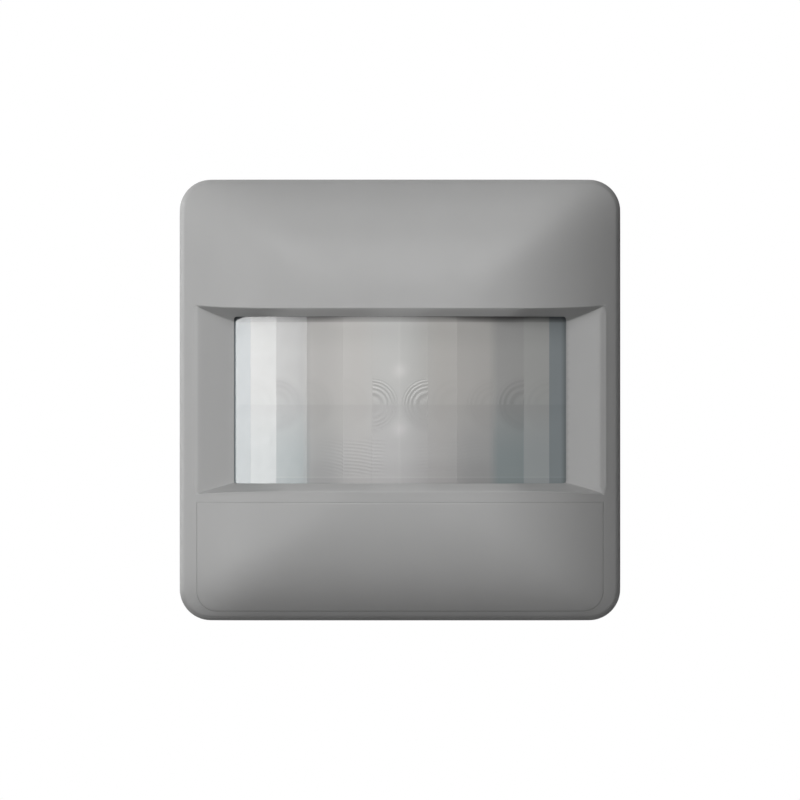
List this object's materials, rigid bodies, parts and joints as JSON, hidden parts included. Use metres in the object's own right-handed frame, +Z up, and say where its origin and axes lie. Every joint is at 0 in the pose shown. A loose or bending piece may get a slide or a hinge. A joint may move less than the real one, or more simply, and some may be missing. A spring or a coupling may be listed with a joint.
{
  "type": "motion sensor light switch",
  "caption": "Wall light switch with a curved motion sensor lens in a domed square cover, a pull-off lid over its setting dials and a flush relay insert.",
  "frame": {"origin": "centre of the support ring's back face, which lies on the wall", "axes": "+X right, +Z up, -Y towards the room; the insert reaches into the wall along +Y"},
  "size_m": [0.071, 0.0537, 0.071],
  "materials": {
    "cover_plastic": "satin gloss grey",
    "lens_plastic": "milky moulded lens sheet",
    "dark_plastic": "matt black",
    "tray_plastic": "matt grey",
    "dial_plastic": "matt off-white",
    "blue_plastic": "moulded blue",
    "steel": "zinc plated",
    "circuit_board": "green solder mask",
    "sensor_filter": "dark filter",
    "led_epoxy": "tinted epoxy",
    "can_aluminium": "sleeved can",
    "contact_brass": "bright",
    "housing_plastic": "matt light grey",
    "yellow_plastic": "boxed film capacitor",
    "glass_tube": "clear",
    "varistor_blue": "dipped coating"
  },
  "bodies": {
    "insert": {"support_ring": "steel", "ring_rivets": "steel", "insert_housing": "housing_plastic", "power_board": "circuit_board", "board_screws": "steel", "board_socket": "dark_plastic", "relay": "blue_plastic", "film_capacitor": "yellow_plastic", "filter_capacitor": "can_aluminium", "fuse": "glass_tube", "varistor": "varistor_blue", "terminal_block": "tray_plastic", "terminal_clamps": "contact_brass", "terminal_screws": "steel", "back_cover": "housing_plastic", "back_screws": "steel"},
    "head": {"front_plate": "cover_plastic", "fresnel_lens": "lens_plastic", "lens_frame": "dark_plastic", "control_tray": "tray_plastic", "potentiometers": "blue_plastic", "slide_switch": "steel", "control_board": "circuit_board", "sensor_socket": "dark_plastic", "motion_sensor": "steel", "sensor_window": "sensor_filter", "indicator_led": "led_epoxy", "light_cell": "sensor_filter", "control_chip": "dark_plastic", "filter_coil": "dark_plastic", "timer_capacitor": "can_aluminium", "plug_block": "dark_plastic", "plug_pins": "contact_brass", "rear_cover": "housing_plastic", "head_screws": "steel"},
    "lid": {"control_lid": "cover_plastic"},
    "time_dial": {"time_dial": "dial_plastic"},
    "lux_dial": {"lux_dial": "dial_plastic"},
    "range_dial": {"range_dial": "dial_plastic"},
    "mode_slider": {"mode_slider": "dial_plastic"}
  },
  "joints": [
    {"name": "head_release", "type": "slide", "parent": "insert", "child": "head", "axis": [0, -1, 0], "range_m": [0, 0.02]},
    {"name": "lid_release", "type": "slide", "parent": "head", "child": "lid", "axis": [0, -1, 0], "range_m": [0, 0.012]},
    {"name": "time_dial_turn", "type": "hinge", "parent": "head", "child": "time_dial", "pos_m": [-0.01831, -0.0108, -0.0252], "axis": [0, -1, 0], "range_deg": [-135, 135]},
    {"name": "lux_dial_turn", "type": "hinge", "parent": "head", "child": "lux_dial", "pos_m": [-0.00621, -0.0108, -0.0252], "axis": [0, -1, 0], "range_deg": [-135, 135]},
    {"name": "range_dial_turn", "type": "hinge", "parent": "head", "child": "range_dial", "pos_m": [0.00589, -0.0108, -0.0252], "axis": [0, -1, 0], "range_deg": [-135, 135]},
    {"name": "mode_slide", "type": "slide", "parent": "head", "child": "mode_slider", "axis": [1, 0, 0], "range_m": [-0.0024, 0.0024]}
  ]
}
